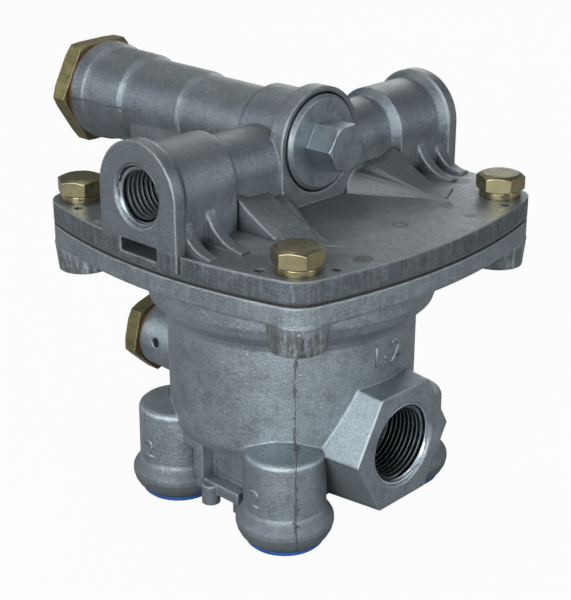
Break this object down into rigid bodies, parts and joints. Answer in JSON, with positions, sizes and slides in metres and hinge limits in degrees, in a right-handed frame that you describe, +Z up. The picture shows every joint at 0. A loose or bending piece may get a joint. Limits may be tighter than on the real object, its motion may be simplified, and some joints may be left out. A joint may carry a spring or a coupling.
{
  "type": "air brake relay valve",
  "caption": "Air brake relay valve: cast cover with a cross cylinder and two control ports, bolted to a lower casting with a hexagonal supply port and delivery ports underneath.",
  "frame": {"origin": "middle of the bottom of the valve's box; the piston's axis stands 15.15 mm from it towards +X", "axes": "+Z up along the piston's axis, +X along the cross cylinder towards the hexagonal supply port, +Y towards the far control port"},
  "size_m": [0.1422, 0.114, 0.1238],
  "materials": {
    "cast_alloy": "satin",
    "black_rubber": "matte",
    "yellow_zinc": "satin",
    "blue_plastic": "gloss",
    "turned_alloy": "satin",
    "brass": "satin",
    "brown_fibre": "matte",
    "spring_steel": "satin",
    "black_plastic": "matte"
  },
  "bodies": {
    "housing": {"lower_housing": "cast_alloy", "upper_housing": "cast_alloy", "flange_gasket": "black_rubber", "corner_bolt_1": "yellow_zinc", "spring_washer_1": "yellow_zinc", "dust_plug_1": "blue_plastic", "corner_bolt_2": "yellow_zinc", "spring_washer_2": "yellow_zinc", "dust_plug_2": "blue_plastic", "corner_bolt_3": "yellow_zinc", "spring_washer_3": "yellow_zinc", "dust_plug_3": "blue_plastic", "corner_bolt_4": "yellow_zinc", "spring_washer_4": "yellow_zinc", "dust_plug_4": "blue_plastic", "front_plug": "turned_alloy", "front_plug_seal": "black_rubber", "rear_cap": "brass", "rear_cap_seal": "brown_fibre", "spool_spring": "spring_steel", "side_plug": "brass", "side_plug_seal": "black_rubber", "check_spring": "spring_steel", "valve_guide": "turned_alloy", "stem_seal": "black_rubber", "inlet_spring": "spring_steel", "guide_retaining_ring": "spring_steel", "exhaust_cover": "black_plastic", "exhaust_flap": "black_rubber"},
    "spool": {"control_spool": "turned_alloy", "spool_seal_front": "black_rubber", "spool_seal_rear": "black_rubber"},
    "check": {"check_valve": "brass", "check_valve_seal": "black_rubber"},
    "piston": {"relay_piston": "turned_alloy", "relay_piston_seal": "black_rubber"},
    "valve": {"inlet_valve": "brass", "inlet_valve_face": "black_rubber"}
  },
  "joints": [
    {"name": "spool_slide", "type": "slide", "parent": "housing", "child": "spool", "axis": [-1, 0, 0], "range_m": [0, 0.006], "stiffness_N_per_m": 1500, "springref_m": -0.002, "deforming": ["spool_spring"]},
    {"name": "check_slide", "type": "slide", "parent": "housing", "child": "check", "axis": [-1, 0, 0], "range_m": [0, 0.003], "stiffness_N_per_m": 300, "springref_m": -0.002, "deforming": ["check_spring"]},
    {"name": "piston_slide", "type": "slide", "parent": "housing", "child": "piston", "axis": [0, 0, -1], "range_m": [0, 0.004]},
    {"name": "inlet_slide", "type": "slide", "parent": "housing", "child": "valve", "axis": [0, 0, -1], "range_m": [0, 0.0028], "deforming": ["inlet_spring"]}
  ],
  "couplings": [
    {"joint": "inlet_slide", "follows": "piston_slide", "ratio": 0.7}
  ]
}
